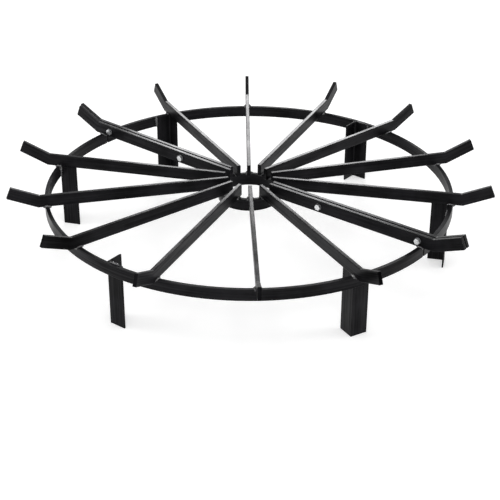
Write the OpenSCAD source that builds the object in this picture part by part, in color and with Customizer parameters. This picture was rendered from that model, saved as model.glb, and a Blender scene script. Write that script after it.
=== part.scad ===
// Round log grate for a fire pit. Flat bars stand on edge across a rim ring and a small hub
// ring, like the spokes of a wheel, and their outer ends bend up to keep the logs in.
// The wheel is two welded halves, back and front, bolted together along the X axis. Each half was
// welded by hand, so its bars stand a little off their even places.
// The ground is z = 0 and the wheel's centre is the origin.

/* [Rim] */
// Outside diameter of the rim ring
rim_diameter = 764; // [600:2:1000]
// Thickness of the flat bar that the rim is rolled from
rim_thick = 7; // [4:0.5:10]
// Height of the flat bar that the rim is rolled from
rim_height = 21.5; // [16:0.5:40]

/* [Hub] */
// Outside diameter of the hub ring under the inner ends of the bars
hub_diameter = 116; // [112:2:160]
// Thickness of the flat bar that the hub ring is rolled from
hub_thick = 7; // [4:0.5:10]
// Height of the flat bar that the hub ring is rolled from
hub_height = 23.5; // [16:0.5:40]

/* [Bars] */
// Number of places round the wheel that hold a bar, two of them on the bolted joint
bar_places = 14; // [10:2:16]
// Thickness of each bar
bar_thick = 7; // [5:0.5:9]
// Height of each bar, which stands on edge
bar_height = 22.5; // [18:0.5:36]
// Distance from the wheel's centre to the inner end of each bar
bar_start = 44; // [38:1:46]
// Distance from the rim's outside to the crease where each bar's outer end turns up
bar_overhang = 12.5; // [8:0.5:40]
// Angle that the outer end turns up by
bend_angle = 22.5; // [10:0.5:45]
// Length of the outer end beyond the crease, along its top edge
tip_length = 56; // [30:0.5:90]

/* [Legs] */
// Height of each leg, from the ground to the underside of the bars
leg_height = 123.5; // [80:0.5:200]
// Width of each flange of the angle iron
leg_width = 32.5; // [20:0.5:40]
// Thickness of the angle iron
leg_thick = 3; // [2:0.5:5]
// Radius of the fillet inside the angle iron's corner
leg_root = 3; // [1:0.5:5]
// Gap between a leg's two edges and the inside of the rim that they are welded to
leg_seat = 0.2; // [0.1:0.1:0.4]

/* [Bolted joint] */
// Gap between the two joint bars that are bolted together, and between the rings' ends
joint_gap = 3; // [0.2:0.1:4]
// Distance from the wheel's centre to each inner bolt
inner_bolt_radius = 165; // [100:1:260]
// How far the outer bolt on the right sits in from the rim's outside
right_bolt_inset = 8; // [0:1:60]
// How far the outer bolt on the left sits in from the rim's outside
left_bolt_inset = 24; // [0:1:60]
// Thread diameter of the bolts
bolt_diameter = 6; // [5:1:8]
// Size of the bolt heads and nuts across their flats
hex_across = 10; // [9:1:11]
// Height of each bolt head
head_height = 4; // [3:0.5:6]
// Height of each nut
nut_height = 5; // [4:0.5:7]
// Outside diameter of the washers
washer_diameter = 12.5; // [11:0.5:15]
// Thickness of the washers
washer_thick = 1.6; // [1:0.2:2.4]
// Radial play of the bolts in the bars' holes and in the washers
hole_play = 0.3; // [0.2:0.1:0.6]
// Length of bolt that stands out of each nut
bolt_past_nut = 3; // [1:0.5:8]

/* [Hidden] */
$fn = 96;
half_places = bar_places / 2;
pitch = 360 / bar_places;

// Degrees that each bar was welded round from its even place, anticlockwise from the right
weld_drift = [1, 1.5, 2, 2.5, 1.5, 0.5, 0.5, -1, -0.5, 0, 0, 1.5, 2, 2];
// How far out each bar was welded from its even place: the back half's bars from the right
// round to the left, joint bars included, and the front half's from the left to the right
weld_reach = [[9, 1, -1, -4, 3, -4, -1, 3], [-3, 2, -4, -3, -3, 0, 2, 9]];
// Degrees that each leg was welded round from its even place, the back half's three first
leg_drift = [[1.5, 0, 0], [0.5, 1, 0]];

rim_radius = rim_diameter / 2;
hub_radius = hub_diameter / 2;

crease_radius = rim_radius + bar_overhang;
joint_offset = (joint_gap + bar_thick) / 2; // from the joint to the middle of a joint bar

// The outer flange of a leg is a chord across the inside of the rim
leg_chord = sqrt(pow(rim_radius - rim_thick - leg_seat, 2) - pow(leg_width / 2, 2));
// Turn that brings a leg's inner flange under the middle of a bar
leg_swing = asin((leg_width - leg_thick) / 2 / (leg_chord - leg_width / 2));

bolt_radius = bolt_diameter / 2;
hole_radius = bolt_radius + hole_play;
thread_play = 0.05; // keeps a nut's thread off its bolt's
bolt_level = leg_height + bar_height / 2;
washer_seat = joint_gap / 2 + bar_thick; // out from the joint to the faces that are clamped
hex_seat = washer_seat + washer_thick;
hex_bevel = 0.8; // taken off the corners of heads and nuts
bolt_reach = hex_seat + nut_height + bolt_past_nut;
cut = 1; // how far a cutting shape runs past what it cuts

halves = ["back", "front"];
sides = ["right", "left"];
bolt_names = ["right_outer", "right_inner", "left_inner", "left_outer"];
bolt_places = [
    rim_radius - right_bolt_inset,
    inner_bolt_radius,
    -inner_bolt_radius,
    left_bolt_inset - rim_radius
];

function drift(place) = len(weld_drift) == bar_places ? weld_drift[place] : 0;

// Direction of a half's bar, counted anticlockwise from the joint
function bar_angle(half, i) =
    let (place = i + (half == "front" ? half_places : 0))
    place * pitch + drift(place);

// How far out a half's bar was welded, counted the same way, so that 0 and half_places are
// its joint bars
function bar_reach(half, i) =
    len(weld_reach[0]) == half_places + 1 ? weld_reach[half == "front" ? 1 : 0][i] : 0;

// Turn of one side's bolted joint from the X axis
function joint_turn(side) = drift(side == "left" ? half_places : 0);

// Which side of a leg its inner flange is on: towards the middle of its half
// on the end legs, and either way on the middle legs
function leg_side(half, i) = i == 1 ? -1 : i == 3 ? 1 : half == "front" ? 1 : -1;

// The end legs stand under the first and last bars, and the middle leg between the others
function leg_angle(half, i) =
    let (front = half == "front" ? 1 : 0)
    let (middle = 90 + 180 * front)
    let (end = bar_angle(half, i == 1 ? 1 : half_places - 1) + leg_side(half, i) * leg_swing)
    (i == 2 ? middle : end) + leg_drift[front][i - 1];

// Side view of a bar, seen from the crease in its top edge. It was notched from above and its
// end was turned up until the notch closed, so the crease is sharp.
module bar_side() {
    tip = tip_length * [cos(bend_angle), sin(bend_angle)];
    polygon([
        [bar_start - crease_radius, -bar_height],
        [bar_height * tan(bend_angle / 2), -bar_height],
        tip + bar_height * [sin(bend_angle), -cos(bend_angle)],
        tip,
        [0, 0],
        [bar_start - crease_radius, 0]
    ]);
}

// A whole bar along +X, standing on the rings
module bar(reach) {
    translate([crease_radius + reach, 0, leg_height + bar_height])
        rotate([90, 0, 0])
            linear_extrude(bar_thick, center = true)
                bar_side();
}

module free_bar(half, i) {
    color("#2b2b2d")
        rotate(bar_angle(half, i))
            bar(bar_reach(half, i));
}

// The bars that are bolted together stand either side of the joint
module joint_bar(half, side) {
    back = half == "back" ? 1 : -1;
    i = (half == "back") == (side == "left") ? half_places : 0;
    color("#2b2b2d")
        rotate(joint_turn(side))
            difference() {
                translate([0, back * joint_offset, 0])
                    rotate(side == "left" ? 180 : 0)
                        bar(bar_reach(half, i));
                for (x = bolt_places)
                    translate([x, 0, bolt_level])
                        rotate([90, 0, 0])
                            cylinder(r = hole_radius, h = 2 * (washer_seat + cut), center = true);
            }
}

// Half of a ring rolled from flat bar, its ends cut back a little from the joint
module half_ring(half, radius, thick, height) {
    start = half == "back" ? joint_turn("right") : 180 + joint_turn("left");
    end = half == "back" ? 180 + joint_turn("left") : 360 + joint_turn("right");
    translate([0, 0, leg_height - height])
        difference() {
            rotate(start)
                rotate_extrude(angle = end - start)
                    translate([radius - thick, 0])
                        square([thick, height]);
            for (side = sides)
                rotate(joint_turn(side))
                    translate([side == "left" ? -radius - cut : 0, -joint_gap / 2, -cut])
                        cube([radius + cut, joint_gap, height + 2 * cut]);
        }
}

module rim(half) {
    color("#2b2b2d")
        half_ring(half, rim_radius, rim_thick, rim_height);
}

module hub_ring(half) {
    color("#2b2b2d")
        half_ring(half, hub_radius, hub_thick, hub_height);
}

// Section of the angle iron, its heel at the origin: one flange lies along +Y and the other
// along -X, with a fillet between them
module angle_section() {
    translate([-leg_thick, 0])
        square([leg_thick, leg_width]);
    translate([-leg_width, 0])
        square([leg_width, leg_thick]);
    translate([-leg_thick - leg_root, leg_thick])
        difference() {
            square(leg_root);
            translate([0, leg_root])
                circle(r = leg_root);
        }
}

// A leg against the inside of the rim, from the ground up to the underside of the bars
module leg(half, i) {
    color("#2b2b2d")
        rotate(leg_angle(half, i))
            mirror([0, leg_side(half, i) < 0 ? 1 : 0, 0])
                translate([leg_chord, -leg_width / 2, 0])
                    linear_extrude(leg_height)
                        angle_section();
}

// A hexagonal head or nut standing on z = 0, the corners of its top bevelled at 30 degrees
module hexagon(height) {
    corner = hex_across / 2 / cos(30);
    intersection() {
        cylinder(r = corner, h = height, $fn = 6);
        cylinder(r1 = corner - hex_bevel + height / tan(30), r2 = corner - hex_bevel, h = height);
    }
}

// A bolt's own place, its axis square to the joint and its head at the front
module at_bolt(x) {
    rotate(joint_turn(x < 0 ? "left" : "right"))
        translate([x, 0, bolt_level])
            rotate([90, 0, 0])
                children();
}

module bolt(x) {
    color("#c9cbcd")
        at_bolt(x) {
            translate([0, 0, hex_seat])
                hexagon(head_height);
            translate([0, 0, -bolt_reach])
                cylinder(r = bolt_radius, h = bolt_reach + hex_seat);
        }
}

module nut(x) {
    color("#c9cbcd")
        at_bolt(x)
            translate([0, 0, -hex_seat])
                mirror([0, 0, 1])
                    difference() {
                        hexagon(nut_height);
                        translate([0, 0, -cut])
                            cylinder(r = bolt_radius + thread_play, h = nut_height + 2 * cut);
                    }
}

// A washer on the front of each joint, or on the back
module washers(front) {
    color("#c9cbcd")
        for (x = bolt_places)
            at_bolt(x)
                translate([0, 0, front ? washer_seat : -hex_seat])
                    difference() {
                        cylinder(d = washer_diameter, h = washer_thick);
                        translate([0, 0, -cut])
                            cylinder(r = hole_radius, h = washer_thick + 2 * cut);
                    }
}

for (half = halves) {
    rim(half);
    hub_ring(half);
    for (i = [1 : half_places - 1])
        free_bar(half, i);
    for (side = sides)
        joint_bar(half, side);
    for (i = [1 : 3])
        leg(half, i);
}
for (i = [0 : len(bolt_names) - 1]) {
    bolt(bolt_places[i]);
    nut(bolt_places[i]);
}
washers(true);  // head_washers
washers(false);  // nut_washers
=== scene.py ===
# Log grate on a white studio floor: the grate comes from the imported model, and gets its paint,
# rounded edges, weld beads and bolt threads here. Metres, Z up, the bolted joint along X.
import bmesh
import bpy
import math
import random
from mathutils import Matrix, Vector


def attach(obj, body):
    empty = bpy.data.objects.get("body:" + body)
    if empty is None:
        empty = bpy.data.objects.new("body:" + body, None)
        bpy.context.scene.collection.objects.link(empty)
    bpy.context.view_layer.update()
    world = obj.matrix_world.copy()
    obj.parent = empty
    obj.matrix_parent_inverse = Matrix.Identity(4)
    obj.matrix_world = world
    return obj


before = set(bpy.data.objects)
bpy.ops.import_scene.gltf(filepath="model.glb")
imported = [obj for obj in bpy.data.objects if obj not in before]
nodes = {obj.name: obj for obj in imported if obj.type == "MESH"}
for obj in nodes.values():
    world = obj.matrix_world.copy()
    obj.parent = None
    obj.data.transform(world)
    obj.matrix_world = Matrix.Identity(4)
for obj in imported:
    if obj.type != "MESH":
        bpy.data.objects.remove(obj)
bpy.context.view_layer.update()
print("frame loaded:", len(nodes), "nodes")


def newMaterial(name):
    material = bpy.data.materials.new(name)
    material.use_nodes = True
    tree = material.node_tree
    tree.nodes.clear()
    return material, tree


def addNode(tree, kind, inputs=None, **settings):
    node = tree.nodes.new(kind)
    for key, value in settings.items():
        setattr(node, key, value)
    for key, value in (inputs or {}).items():
        node.inputs[key].default_value = value
    return node


def link(tree, start, end):
    tree.links.new(start, end)


def feed(tree, node, values):
    # each value is another node's output, or a number or vector
    for socket, value in zip(node.inputs, values):
        if isinstance(value, bpy.types.NodeSocket):
            link(tree, value, socket)
        else:
            socket.default_value = value


def plainMath(tree, operation, *values, **settings):
    node = addNode(tree, "ShaderNodeMath", operation=operation, **settings)
    feed(tree, node, values)
    return node.outputs[0]


def vectorMath(tree, operation, *values):
    node = addNode(tree, "ShaderNodeVectorMath", operation=operation)
    feed(tree, node, values)
    return node.outputs["Value" if operation in ("LENGTH", "DOT_PRODUCT") else "Vector"]


def noise(tree, place, scale, detail, roughness=0.5):
    texture = addNode(tree, "ShaderNodeTexNoise", {
        "Scale": scale, "Detail": detail, "Roughness": roughness})
    link(tree, place, texture.inputs["Vector"])
    return texture.outputs["Fac"]


def spread(tree, value, span, results):
    node = addNode(tree, "ShaderNodeMapRange", {
        "From Min": span[0], "From Max": span[1], "To Min": results[0], "To Max": results[1]})
    link(tree, value, node.inputs["Value"])
    return node.outputs["Result"]


def ramp(tree, source, span, colours):
    # two stops, each a grey level or a colour
    node = addNode(tree, "ShaderNodeValToRGB")
    link(tree, source, node.inputs["Fac"])
    for element, position, colour in zip(node.color_ramp.elements, span, colours):
        if isinstance(colour, float):
            colour = (colour, colour, colour)
        element.position = position
        element.color = (*colour, 1.0)
    return node.outputs["Color"]


def rounded(tree, radius):
    return addNode(tree, "ShaderNodeBevel", {"Radius": radius}, samples=6).outputs["Normal"]


def bump(tree, height, normal, strength, depth):
    node = addNode(tree, "ShaderNodeBump", {"Strength": strength, "Distance": depth})
    link(tree, height, node.inputs["Height"])
    link(tree, normal, node.inputs["Normal"])
    return node.outputs["Normal"]


def endMaterial(tree, shader):
    output = addNode(tree, "ShaderNodeOutputMaterial")
    link(tree, shader.outputs[0], output.inputs["Surface"])


blackPaint = {
    "colour": (0.0055, 0.0054, 0.0062),
    "edgeWearAndHighlight": (0.12, 0.12, 0.116),  # thin paint on the edges, and a painted highlight along them
    "roughness": (0.28, 0.48),
    "levelRoughness": (0.14, 0.26),  # of faces that look straight up
    "specular": 0.09,
    "sheen": (0.965, 0.955, 1.0),  # a slightly blue black
    "edgeRadius": 0.0007,
    "crownRadius": 0.0024,  # the slight crown of a rolled edge
    "bumpStrength": 0.6,
    "peelSize": 900.0,  # fine orange peel
    "peelDepth": 0.00003,
    "millSize": 60.0,  # slow waves of hot-rolled bar
    "millDepth": 0.00025,
    "cloudSize": 14.0,  # slow clouds in the black and in its gloss
    "cloudTint": (0.35, 2.2),  # of the colour
    "chipSize": 110.0,  # worn chips along the edges, which also break up the painted edge highlight
    "streakSize": (9.0, 9.0, 420.0),  # long and level, for bars and rings
    "streakShare": (0.35, 1.65),  # of the specular level
    "creaseRadius": 0.3945,  # where a bar's end turns up
    "turnUp": 22.5,  # degrees
    "shadedEndGloss": 0.15,  # of the gloss, on the free bars' ends: a painted shade that keeps them dark
}

jointPaint = {
    **blackPaint,
    "shadedEndGloss": 1.0,  # stands in for the photograph's light, which reaches the bolted pairs' ends
}

ringPaint = {
    **blackPaint,
    "levelRoughness": (0.44, 0.58),
    "crownRadius": 0.0014,
}

legPaint = {
    **ringPaint,
    "streakSize": (420.0, 420.0, 9.0),  # the angle iron stands upright
}

beadPaint = {
    **blackPaint,
    "colour": (0.010, 0.010, 0.010),
    # light crests on the ripples: painted glints, and wear
    "edgeWearAndHighlight": (0.22, 0.22, 0.215),
    "roughness": (0.10, 0.24),
    "levelRoughness": (0.10, 0.24),
    "specular": 1.0,
    "crownRadius": 0.0006,
    "peelSize": 480.0,  # spatter and pits
    "peelDepth": 0.0006,
    "millSize": 200.0,
    "millDepth": 0.0010,
    "streakShare": (0.8, 1.2),
}

# where each mask of the paint starts and ends
paintSpans = {
    "edge": (0.80, 0.985),  # likeness of the rounded normal to the face's own
    "chip": (0.50, 0.66),
    "cloudTint": (0.36, 0.66),
    "cloudGloss": (0.3, 0.7),
    "streak": (0.32, 0.68),
    "level": (0.93, 0.98),  # how far a face looks up
    "endShade": (0.96, 0.985),  # likeness of a face's normal to the way a bar's end points, for the painted shade on the ends
}

zincPlate = {
    "colour": (0.86, 0.87, 0.88),
    "dullColour": (0.62, 0.63, 0.64),
    "roughness": (0.16, 0.34),
    "spangleSize": 900.0,
    "grimeSize": 260.0,
    "grimeSpan": (0.35, 0.60),
    "edgeRadius": 0.0004,
    "bumpStrength": 0.3,
    "bumpDepth": 0.00005,
}

washerZinc = {
    **zincPlate,
    "colour": (0.20, 0.20, 0.205),
    "dullColour": (0.06, 0.06, 0.062),
    "roughness": (0.30, 0.50),
}


def rolledStreaks(tree, place, plan, slope, settings):
    # long streaks that run the way the stock was rolled, and turn up with the bars' ends
    beyond = plainMath(tree, "SUBTRACT", vectorMath(tree, "LENGTH", plan), settings["creaseRadius"])
    rise = plainMath(tree, "MULTIPLY", plainMath(tree, "MAXIMUM", beyond, 0.0), slope)
    spot = addNode(tree, "ShaderNodeSeparateXYZ")
    link(tree, place, spot.inputs[0])
    height = plainMath(tree, "SUBTRACT", spot.outputs["Z"], rise)
    along = addNode(tree, "ShaderNodeCombineXYZ")
    feed(tree, along, (spot.outputs["X"], spot.outputs["Y"], height))
    stretched = vectorMath(tree, "MULTIPLY", along.outputs["Vector"], settings["streakSize"])
    return noise(tree, stretched, scale=1.0, detail=3.0, roughness=0.6)


def paintedEndShade(tree, plan, slope, faceNormal, settings):
    # painted shade: the share of the gloss that is left on a face square to a bar's turned-up end
    outward = vectorMath(tree, "NORMALIZE", plan)
    lean = vectorMath(tree, "ADD", outward, (0.0, 0.0, slope))
    facing = vectorMath(tree, "DOT_PRODUCT", vectorMath(tree, "NORMALIZE", lean), faceNormal)
    return spread(tree, facing, paintSpans["endShade"], (1.0, settings["shadedEndGloss"]))


def paintColour(tree, cloudy, chips, likeness, settings):
    # slow clouds in the black, and lighter chips along the edges: wear, and a painted highlight
    edges = ramp(tree, likeness, paintSpans["edge"], (1.0, 0.0))
    patches = ramp(tree, chips, paintSpans["chip"], (0.0, 1.0))
    wearAndHighlight = addNode(tree, "ShaderNodeMix", {"Factor": 1.0}, data_type="RGBA", blend_type="MULTIPLY")
    link(tree, edges, wearAndHighlight.inputs["A"])
    link(tree, patches, wearAndHighlight.inputs["B"])
    tints = [tuple(channel * share for channel in settings["colour"]) for share in settings["cloudTint"]]
    colour = addNode(tree, "ShaderNodeMix", {"B": (*settings["edgeWearAndHighlight"], 1.0)}, data_type="RGBA")
    link(tree, wearAndHighlight.outputs["Result"], colour.inputs["Factor"])
    link(tree, ramp(tree, cloudy, paintSpans["cloudTint"], tints), colour.inputs["A"])
    return colour.outputs["Result"]


def paintRoughness(tree, cloudy, faceNormal, settings):
    # cloudy, and smoother on the faces that look straight up
    upward = addNode(tree, "ShaderNodeSeparateXYZ")
    link(tree, faceNormal, upward.inputs[0])
    rough = addNode(tree, "ShaderNodeMix", data_type="FLOAT")
    link(tree, ramp(tree, upward.outputs["Z"], paintSpans["level"], (0.0, 1.0)), rough.inputs["Factor"])
    for socket, key in (("A", "roughness"), ("B", "levelRoughness")):
        link(tree, spread(tree, cloudy, paintSpans["cloudGloss"], settings[key]), rough.inputs[socket])
    return rough.outputs["Result"]


def paintSurface(tree, place, settings):
    # orange peel over mill waves over rounded edges
    strength = settings["bumpStrength"]
    mill = noise(tree, place, settings["millSize"], detail=3.0)
    peel = noise(tree, place, settings["peelSize"], detail=2.0)
    waves = bump(tree, mill, rounded(tree, settings["crownRadius"]), strength, settings["millDepth"])
    return bump(tree, peel, waves, strength, settings["peelDepth"])


def makePaint(name, settings):
    material, tree = newMaterial(name)
    place = addNode(tree, "ShaderNodeTexCoord").outputs["Object"]
    plan = vectorMath(tree, "MULTIPLY", place, (1.0, 1.0, 0.0))
    faceNormal = addNode(tree, "ShaderNodeNewGeometry").outputs["True Normal"]
    likeness = vectorMath(tree, "DOT_PRODUCT", rounded(tree, settings["edgeRadius"]), faceNormal)
    cloudy = noise(tree, place, settings["cloudSize"], detail=5.0, roughness=0.6)
    chips = noise(tree, place, settings["chipSize"], detail=4.0, roughness=0.65)
    slope = math.tan(math.radians(settings["turnUp"]))
    streaks = rolledStreaks(tree, place, plan, slope, settings)
    levels = [share * settings["specular"] for share in settings["streakShare"]]
    gloss = spread(tree, streaks, paintSpans["streak"], levels)
    # the gloss, lowered on the free bars' ends as painted shade
    specular = plainMath(tree, "MULTIPLY", gloss, paintedEndShade(tree, plan, slope, faceNormal, settings))

    shader = addNode(tree, "ShaderNodeBsdfPrincipled", {"Specular Tint": (*settings["sheen"], 1.0)})
    link(tree, specular, shader.inputs["Specular IOR Level"])
    link(tree, paintColour(tree, cloudy, chips, likeness, settings), shader.inputs["Base Color"])
    link(tree, paintRoughness(tree, cloudy, faceNormal, settings), shader.inputs["Roughness"])
    link(tree, paintSurface(tree, place, settings), shader.inputs["Normal"])
    endMaterial(tree, shader)
    return material


def makeZinc(name, settings):
    material, tree = newMaterial(name)
    place = addNode(tree, "ShaderNodeTexCoord").outputs["Object"]
    spangle = addNode(tree, "ShaderNodeTexVoronoi", {"Scale": settings["spangleSize"]})
    link(tree, place, spangle.inputs["Vector"])
    grime = noise(tree, place, settings["grimeSize"], detail=4.0)
    colour = ramp(tree, grime, settings["grimeSpan"], (settings["dullColour"], settings["colour"]))
    rough = spread(tree, spangle.outputs["Distance"], (0.0, 1.0), settings["roughness"])
    edges = rounded(tree, settings["edgeRadius"])
    shader = addNode(tree, "ShaderNodeBsdfPrincipled", {"Metallic": 1.0})
    link(tree, colour, shader.inputs["Base Color"])
    link(tree, rough, shader.inputs["Roughness"])
    surface = bump(tree, grime, edges, settings["bumpStrength"], settings["bumpDepth"])
    link(tree, surface, shader.inputs["Normal"])
    endMaterial(tree, shader)
    return material


barFinish = makePaint("barPaint", blackPaint)
jointFinish = makePaint("jointPaint", jointPaint)
ringFinish = makePaint("ringPaint", ringPaint)
legFinish = makePaint("legPaint", legPaint)
beadFinish = makePaint("beadPaint", beadPaint)
zinc = makeZinc("zincPlate", zincPlate)
dullZinc = makeZinc("washerZinc", washerZinc)


rolledEdges = {
    "steel": 0.0004,  # how far the sharp edges are rounded
    "fastener": 0.00025,
    "segments": 3,
    "mergeWithin": 0.000002,
    "flatWithin": 0.3,  # degrees between faces that are made one
    "sharpFrom": 15.0,  # degrees between faces whose edge is rounded
}


def isFastener(name):
    return name.startswith(("bolt_", "nut_")) or name.endswith("_washers")


def finishFor(name):
    if name.endswith("_washers"):
        return dullZinc
    if isFastener(name):
        return zinc
    if "_joint_bar_" in name:
        return jointFinish
    if "_bar_" in name:
        return barFinish
    return legFinish if "_leg_" in name else ringFinish


def dress(piece, material):
    piece.data.materials.clear()
    piece.data.materials.append(material)


def pickAlone(piece):
    bpy.ops.object.select_all(action="DESELECT")
    piece.select_set(True)
    bpy.context.view_layer.objects.active = piece


def roundEdges(node, width, settings):
    pickAlone(node)
    bpy.ops.mesh.customdata_custom_splitnormals_clear()
    bpy.ops.object.shade_smooth()
    weld = node.modifiers.new("weld", "WELD")
    weld.merge_threshold = settings["mergeWithin"]
    flats = node.modifiers.new("flats", "DECIMATE")
    flats.decimate_type = "DISSOLVE"
    flats.angle_limit = math.radians(settings["flatWithin"])
    rounding = node.modifiers.new("rounding", "BEVEL")
    rounding.width = width
    rounding.segments = settings["segments"]
    rounding.limit_method = "ANGLE"
    rounding.angle_limit = math.radians(settings["sharpFrom"])
    shading = node.modifiers.new("shading", "WEIGHTED_NORMAL")
    shading.keep_sharp = False


for name, node in nodes.items():
    dress(node, finishFor(name))
    roundEdges(node, rolledEdges["fastener" if isFastener(name) else "steel"], rolledEdges)
print("finishes and rolled edges on the nodes")


weldBeads = {
    "sides": 8,
    "radius": 0.0024,
    "fatness": {"rim": 1.3, "hub": 0.95, "leg": 1.7, "legTop": 1.0},
    "uneven": (0.85, 1.2),  # of the fatness
    "length": 0.010,  # of the ripples; the stub and the tail add one and a half ripples to it
    "ripples": (0.50, 1.0, 0.55, 1.15, 0.62, 1.05, 0.52, 0.80),  # as shares of the radius
    "stub": 0.5,  # of the radius and of a ripple's length, where the bead starts
    "tail": 0.30,  # of the radius, where it ends
    "lumps": 0.0026,
    "lumpSize": 0.0016,
    "standOut": 0.15,  # of the radius, from the steel's corner to the bead's middle
    "roll": 0.5,  # radians either way
    "seed": 41,
    "overrun": (0.0015, 0.0045),  # beside a bar, past the ring's thickness
    "slip": 0.0008,  # along the bar, either way
    "under": (0.0075, 0.0105),  # across a bar's underside, on a ring's face
    "jointUnder": 0.0060,
    "jointShift": 0.0012,  # away from the joint
    "underLean": 1.2,  # downwards, for 1 away from the ring
    "legTrim": 0.002,  # off the rim's height, down a leg's edge
    "legTop": 0.017,
    "nearEnough": 0.001,  # how far apart the points of one end or face may lie
}


def ringSize(node):
    # radii and levels of a half ring, from its mesh
    reaches = [vertex.co.xy.length for vertex in node.data.vertices]
    levels = [vertex.co.z for vertex in node.data.vertices]
    return {"inside": min(reaches), "outside": max(reaches), "foot": min(levels), "top": max(levels)}


rings = {"rim": ringSize(nodes["back_rim"]), "hub": ringSize(nodes["back_hub_ring"])}


def pickEnd(piece, axis, likeness=0.9):
    # edit mode: select only the faces that look along an axis
    shape = bmesh.from_edit_mesh(piece.data)
    for face in shape.faces:
        face.select_set(face.normal.dot(axis) > likeness)
    shape.select_flush_mode()
    bmesh.update_edit_mesh(piece.data)


def makeBead(settings):
    # a stub of a rod along X, drawn out into ripples one by one, then made lumpy
    length, ripples, stub = settings["length"], settings["ripples"], settings["stub"]
    pitch = length / len(ripples)
    bpy.ops.object.select_all(action="DESELECT")
    bpy.ops.mesh.primitive_cylinder_add(
        vertices=settings["sides"], radius=settings["radius"] * stub, depth=pitch * stub,
        location=((pitch * stub - length) / 2, 0.0, 0.0), rotation=(0.0, math.pi / 2, 0.0))
    bead = bpy.context.object
    bead.name = "weldBead"
    bpy.ops.object.transform_apply(location=True, rotation=True, scale=True)
    bpy.ops.object.mode_set(mode="EDIT")
    bpy.ops.mesh.select_mode(type="FACE")
    pickEnd(bead, Vector((1.0, 0.0, 0.0)))
    last, reach = stub, pitch * stub - length / 2
    for share in (*ripples, settings["tail"]):
        bpy.ops.mesh.extrude_region_move(TRANSFORM_OT_translate={"value": (pitch, 0.0, 0.0)})
        reach += pitch
        grow = share / last
        bpy.ops.transform.resize(value=(1.0, grow, grow), center_override=(reach, 0.0, 0.0))
        last = share
    bpy.ops.object.mode_set(mode="OBJECT")
    clouds = bpy.data.textures.new("beadLumps", "CLOUDS")
    clouds.noise_scale = settings["lumpSize"]
    lumps = bead.modifiers.new("lumps", "DISPLACE")
    lumps.texture = clouds
    lumps.strength = settings["lumps"]
    bpy.ops.object.modifier_apply(modifier="lumps")
    bpy.ops.object.shade_smooth()
    return bead


def copyAt(piece, placing):
    # a copy with its own mesh, whose place is in the mesh
    copy = piece.copy()
    copy.data = piece.data.copy()
    copy.data.transform(placing)
    bpy.context.scene.collection.objects.link(copy)
    return copy


def layBead(bead, middle, along, out, length, kind, settings, chance):
    # a copy of the bead along a corner and sunk into it
    across = along.cross(out).normalized()
    out = across.cross(along).normalized()
    thick = settings["fatness"][kind] * chance.uniform(*settings["uneven"])
    place = middle + out * settings["radius"] * thick * settings["standOut"]
    flip = chance.choice((-1.0, 1.0))
    turn = Matrix((along * flip, across * flip, out)).transposed().to_4x4()
    size = Matrix.Diagonal((length / settings["length"], thick, thick, 1.0))
    roll = Matrix.Rotation(chance.uniform(-settings["roll"], settings["roll"]), 4, "X")
    return copyAt(bead, Matrix.Translation(place) @ turn @ roll @ size)


def barLine(node):
    # the middle of a bar's inner end and its direction, from the ends of its mesh
    points = [vertex.co.xy for vertex in node.data.vertices]
    rough = sum(points, Vector((0.0, 0.0))).normalized()
    reaches = [point.dot(rough) for point in points]
    ends = []
    for reach in (min(reaches), max(reaches)):
        near = [point for point, far in zip(points, reaches) if abs(far - reach) < weldBeads["nearEnough"]]
        low = Vector((min(point.x for point in near), min(point.y for point in near)))
        high = Vector((max(point.x for point in near), max(point.y for point in near)))
        ends.append((low + high) / 2)
    along = (ends[1] - ends[0]).normalized()
    return ends[0], along


def ringCrossing(start, along, radius):
    # where the bar's middle line crosses a circle round the wheel's centre
    half = start.dot(along)
    return start + along * (math.sqrt(half * half - start.length_squared + radius * radius) - half)


def halfThickness(node, start, side):
    # half a bar's thickness, from its mesh
    return max(abs((vertex.co.xy - start).dot(side)) for vertex in node.data.vertices)


def raised(point, height):
    return Vector((point.x, point.y, height))


def crossingBeads(bead, name, ring, settings, chance):
    # beads where one bar stands on one ring: along its sides, and under it on the ring's faces
    start, along = barLine(nodes[name])
    side = Vector((-along.y, along.x, 0.0))
    flat = raised(along, 0.0)
    up = Vector((0.0, 0.0, 1.0))
    inside, outside, seat = (rings[ring][key] for key in ("inside", "outside", "top"))
    half = halfThickness(nodes[name], start, side.xy)
    sides = (1.0, -1.0)
    shift = 0.0
    if "_joint_bar_" in name:  # nothing is welded in the joint itself
        away = 1.0 if start.dot(side.xy) > 0.0 else -1.0
        sides = (away,)
        shift = away * settings["jointShift"]
    middle = ringCrossing(start, along, (inside + outside) / 2)
    laid = []
    for way in sides:
        corner = raised(middle, seat) + side * way * half
        length = (outside - inside) + chance.uniform(*settings["overrun"])
        corner += flat * chance.uniform(-settings["slip"], settings["slip"])
        laid.append(layBead(bead, corner, flat, side * way + up, length, ring, settings, chance))
    for radius, way in ((inside, -1.0), (outside, 1.0)):
        corner = raised(ringCrossing(start, along, radius), seat) + side * shift
        length = settings["jointUnder"] if shift else chance.uniform(*settings["under"])
        out = flat * way - up * settings["underLean"]
        laid.append(layBead(bead, corner, side, out, length, ring, settings, chance))
    return laid


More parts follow.
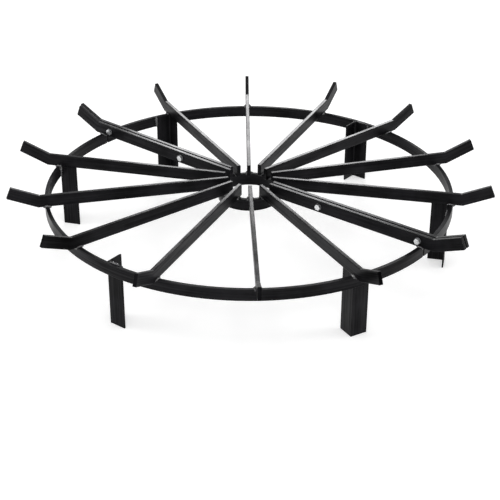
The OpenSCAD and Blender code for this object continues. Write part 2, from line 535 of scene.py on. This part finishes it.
def legBeads(bead, name, settings, chance):
    # beads down both edges of a leg's outer flange, against the inside of the rim
    inside, foot, seat = (rings["rim"][key] for key in ("inside", "foot", "top"))
    near = settings["nearEnough"]
    feet = [vertex.co.xy for vertex in nodes[name].data.vertices if vertex.co.z < near]
    first = max(feet, key=lambda point: point.length)
    atRim = [point for point in feet if point.length > inside - near]
    second = max(atRim, key=lambda point: (point - first).length)
    chord = raised((second - first).normalized(), 0.0)
    up = Vector((0.0, 0.0, 1.0))
    laid = []
    for edge, way in ((first, -1.0), (second, 1.0)):
        out = chord * way - raised(edge.normalized(), 0.0)
        length = seat - foot - settings["legTrim"]
        corner = raised(edge, (seat + foot) / 2)
        laid.append(layBead(bead, corner, up, out, length, "leg", settings, chance))
    if name.endswith("_leg_2"):  # the middle legs have no bar over them, so their top is welded too
        corner = raised((first + second) / 2, seat)
        laid.append(layBead(bead, corner, chord, up, settings["legTop"], "legTop", settings, chance))
    return laid


def joinPieces(name, laid, material):
    bpy.ops.object.select_all(action="DESELECT")
    for piece in laid:
        piece.select_set(True)
    bpy.context.view_layer.objects.active = laid[0]
    bpy.ops.object.join()
    joined = bpy.context.object
    joined.name = name
    joined.data.name = name
    dress(joined, material)
    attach(joined, "root")


def weldUp(settings, material):
    bead = makeBead(settings)
    chance = random.Random(settings["seed"])
    for half in ("back", "front"):
        bars = [name for name in nodes if name.startswith(half) and "_bar_" in name]
        for ring in ("rim", "hub"):
            laid = []
            for name in bars:
                laid += crossingBeads(bead, name, ring, settings, chance)
            joinPieces(half + ring.capitalize() + "Welds", laid, material)
        laid = []
        for name in nodes:
            if name.startswith(half + "_leg_"):
                laid += legBeads(bead, name, settings, chance)
        joinPieces(half + "LegWelds", laid, material)
    bpy.data.objects.remove(bead)


weldUp(weldBeads, beadFinish)
print("weld beads laid")


boltThread = {
    "sides": 20,
    "root": 0.00280,  # inside the shank, so that only the crests show
    "crest": 0.00318,
    "step": 0.0005,
    "lead": 0.4,  # of a step, before the first turn
    "flank": 0.8,  # of a step; a turn is a flank, a flat crest and a flank
    "flat": 0.25,
    "turns": 3,
    "length": 0.003,  # of the shank beyond its nut
    "endWithin": 0.00012,  # how far a far end's points may lie from the farthest
    "smoothWithin": 30.0,  # degrees
}


def makeThread(settings):
    # a disc drawn out along Z, wide at each crest and narrow at each root
    root, step = settings["root"], settings["step"]
    flank, flat = step * settings["flank"], step * settings["flat"]
    reach = step * settings["lead"]
    grow = settings["crest"] / root
    bpy.ops.object.select_all(action="DESELECT")
    bpy.ops.mesh.primitive_cylinder_add(
        vertices=settings["sides"], radius=root, depth=reach, location=(0.0, 0.0, reach / 2))
    thread = bpy.context.object
    thread.name = "thread"
    bpy.ops.object.transform_apply(location=True, rotation=True, scale=True)
    bpy.ops.object.mode_set(mode="EDIT")
    bpy.ops.mesh.select_mode(type="FACE")
    pickEnd(thread, Vector((0.0, 0.0, 1.0)))
    for rise, share in ((flank, grow), (flat, 1.0), (flank, 1.0 / grow)) * settings["turns"]:
        bpy.ops.mesh.extrude_region_move(TRANSFORM_OT_translate={"value": (0.0, 0.0, rise)})
        reach += rise
        bpy.ops.transform.resize(value=(share, share, 1.0), center_override=(0.0, 0.0, reach))
    bpy.ops.object.mode_set(mode="OBJECT")
    bpy.ops.object.shade_smooth_by_angle(angle=math.radians(settings["smoothWithin"]))
    return thread


def shankEnd(name, settings):
    # the middle of a bolt's far end, and its direction square to the bar that it goes through
    points = [vertex.co for vertex in nodes[name].data.vertices]
    far = max(point.y for point in points)
    near = [point for point in points if abs(point.y - far) < settings["endWithin"]]
    along = barLine(nodes["back_joint_bar_" + name.split("_")[1]])[1]
    square = Vector((-along.y, along.x, 0.0))
    return sum(near, Vector()) / len(near), square if square.y > 0.0 else -square


def threadBolts(settings, material):
    thread = makeThread(settings)
    laid = []
    for name in nodes:
        if name.startswith("bolt_"):
            end, axis = shankEnd(name, settings)
            turn = axis.to_track_quat("Z", "Y").to_matrix().to_4x4()
            laid.append(copyAt(thread, Matrix.Translation(end - axis * settings["length"]) @ turn))
    joinPieces("boltThreads", laid, material)
    bpy.data.objects.remove(thread)


threadBolts(boltThread, zinc)
print("turns of thread laid on the bolts' ends")


camera = {
    "place": (1.3901, -1.7549, 1.2390),
    "heading": 128.33,  # degrees anticlockwise from +X
    "down": 29.267,
    "roll": 0.203,
    "lens": 95.433,
    "sensor": 36.0,
    "clip": (0.05, 100.0),
}


def makeCamera(settings):
    data = bpy.data.cameras.new("photoCamera")
    data.lens = settings["lens"]
    data.sensor_width = settings["sensor"]
    data.clip_start, data.clip_end = settings["clip"]
    eye = bpy.data.objects.new("photoCamera", data)
    turn = (
        Matrix.Rotation(math.radians(settings["heading"] - 90.0), 4, "Z")
        @ Matrix.Rotation(math.radians(90.0 - settings["down"]), 4, "X")
        @ Matrix.Rotation(math.radians(settings["roll"]), 4, "Z")
    )
    eye.matrix_world = Matrix.Translation(settings["place"]) @ turn
    bpy.context.scene.collection.objects.link(eye)
    bpy.context.scene.camera = eye


makeCamera(camera)
print("camera placed")


studio = {
    "floorSize": 60.0,
    "floorColour": (0.82, 0.82, 0.82),
    "floorLift": (0.42, 0.70),  # near the grate and far from it, so that its shadow stays
    "liftReach": (0.8, 2.8),
    "worldGrey": 0.45,
    "aim": (0.0, 0.0, 0.15),
    "lights": [
        # name, place, width, height, watts
        ("backPanel", (-1.49, 2.01, 1.18), 1.1, 0.5, 20.0),
        ("rightPanel", (1.96, 1.55, 1.15), 1.3, 0.5, 14.0),
        ("leftPanel", (-1.96, -1.55, 1.15), 1.3, 0.5, 14.0),
        ("frontPanel", (1.55, -1.96, 1.75), 1.3, 0.55, 10.0),
        ("keySoftbox", (0.45, -0.57, 2.60), 1.6, 1.6, 17.0),
    ],
}
white = (1.0, 1.0, 1.0, 1.0)


def throughRays(tree):
    # 1 for what the camera, gloss and glass see directly
    path = addNode(tree, "ShaderNodeLightPath").outputs
    first = plainMath(tree, "ADD", path["Is Camera Ray"], path["Is Glossy Ray"])
    return plainMath(tree, "ADD", first, path["Is Transmission Ray"], use_clamp=True)


def makeFloor(settings):
    bpy.ops.object.select_all(action="DESELECT")
    bpy.ops.mesh.primitive_plane_add(size=settings["floorSize"], location=(0.0, 0.0, 0.0))
    floor = bpy.context.object
    floor.name = "studioFloor"
    material, tree = newMaterial("studioFloor")
    diffuse = addNode(tree, "ShaderNodeBsdfDiffuse", {"Color": (*settings["floorColour"], 1.0)})
    lift = addNode(tree, "ShaderNodeEmission", {"Color": white})
    place = addNode(tree, "ShaderNodeTexCoord").outputs["Object"]
    fade = spread(tree, vectorMath(tree, "LENGTH", place), settings["liftReach"], settings["floorLift"])
    link(tree, plainMath(tree, "MULTIPLY", throughRays(tree), fade), lift.inputs["Strength"])
    together = addNode(tree, "ShaderNodeAddShader")
    feed(tree, together, (diffuse.outputs[0], lift.outputs[0]))
    endMaterial(tree, together)
    floor.data.materials.append(material)


def makeWorld(settings):
    world = bpy.data.worlds.new("studioWorld")
    world.use_nodes = True
    tree = world.node_tree
    tree.nodes.clear()
    light = addNode(tree, "ShaderNodeBackground", {"Color": white, "Strength": settings["worldGrey"]})
    seen = addNode(tree, "ShaderNodeBackground", {"Color": white, "Strength": 1.0})
    mix = addNode(tree, "ShaderNodeMixShader")
    feed(tree, mix, (throughRays(tree), light.outputs[0], seen.outputs[0]))
    output = addNode(tree, "ShaderNodeOutputWorld")
    link(tree, mix.outputs[0], output.inputs["Surface"])
    bpy.context.scene.world = world


def makeLight(name, place, width, height, watts, aim):
    data = bpy.data.lights.new(name, "AREA")
    data.shape = "RECTANGLE"
    data.size = width
    data.size_y = height
    data.energy = watts
    lamp = bpy.data.objects.new(name, data)
    lamp.location = place
    lamp.rotation_mode = "QUATERNION"
    lamp.rotation_quaternion = (Vector(aim) - Vector(place)).to_track_quat("-Z", "Y")
    lamp.visible_camera = False
    bpy.context.scene.collection.objects.link(lamp)


makeFloor(studio)
makeWorld(studio)
for lamp in studio["lights"]:
    makeLight(*lamp, studio["aim"])
bpy.context.scene.view_settings.view_transform = "Standard"
print("studio lit")
